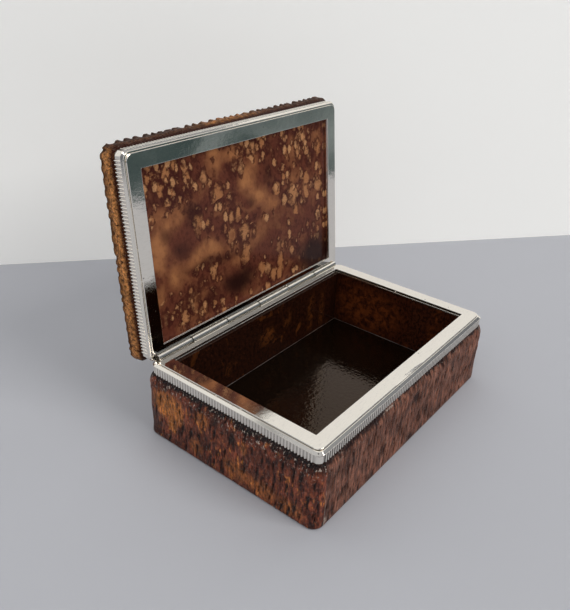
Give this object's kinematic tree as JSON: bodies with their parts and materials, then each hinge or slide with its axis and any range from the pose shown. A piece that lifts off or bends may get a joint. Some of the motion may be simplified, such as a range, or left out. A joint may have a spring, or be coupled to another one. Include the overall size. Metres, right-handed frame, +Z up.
{
  "type": "jewellery box",
  "caption": "Rectangular stone jewellery box with mitred slab walls, a chromed reeded frame and a lid that swings on a full-width pinned hinge to an open stop.",
  "frame": {"origin": "centre of the stone footprint, on the surface the box stands on", "axes": "+Z up, +Y towards the hinge at the back, +X to the right seen from the front"},
  "size_m": [0.1356, 0.1059, 0.1206],
  "materials": {
    "wall_stone": "rough, bark-like outside, dark lacquer inside",
    "floor_stone": "glossy dark lacquer",
    "lid_stone": "rough, bark-like outside, polished inside",
    "frame_chrome": "polished plating",
    "hinge_chrome": "polished plating",
    "pin_steel": "drawn wire"
  },
  "bodies": {
    "base": {"front_wall": "wall_stone", "back_wall": "wall_stone", "left_wall": "wall_stone", "right_wall": "wall_stone", "floor_slab": "floor_stone", "base_reeded_band": "frame_chrome", "base_rim_plate": "frame_chrome", "base_weld_spots": "frame_chrome", "base_hinge_leaf": "hinge_chrome", "hinge_pin": "pin_steel"},
    "lid": {"lid_slab": "lid_stone", "lid_reeded_band": "frame_chrome", "lid_rim_plate": "frame_chrome", "lid_weld_spots": "frame_chrome", "lid_hinge_leaf": "hinge_chrome"}
  },
  "joints": [
    {"name": "lid_hinge", "type": "hinge", "parent": "base", "child": "lid", "pos_m": [0, 0.04169, 0.03565], "axis": [1, 0, 0], "range_deg": [0, 95.8]}
  ]
}
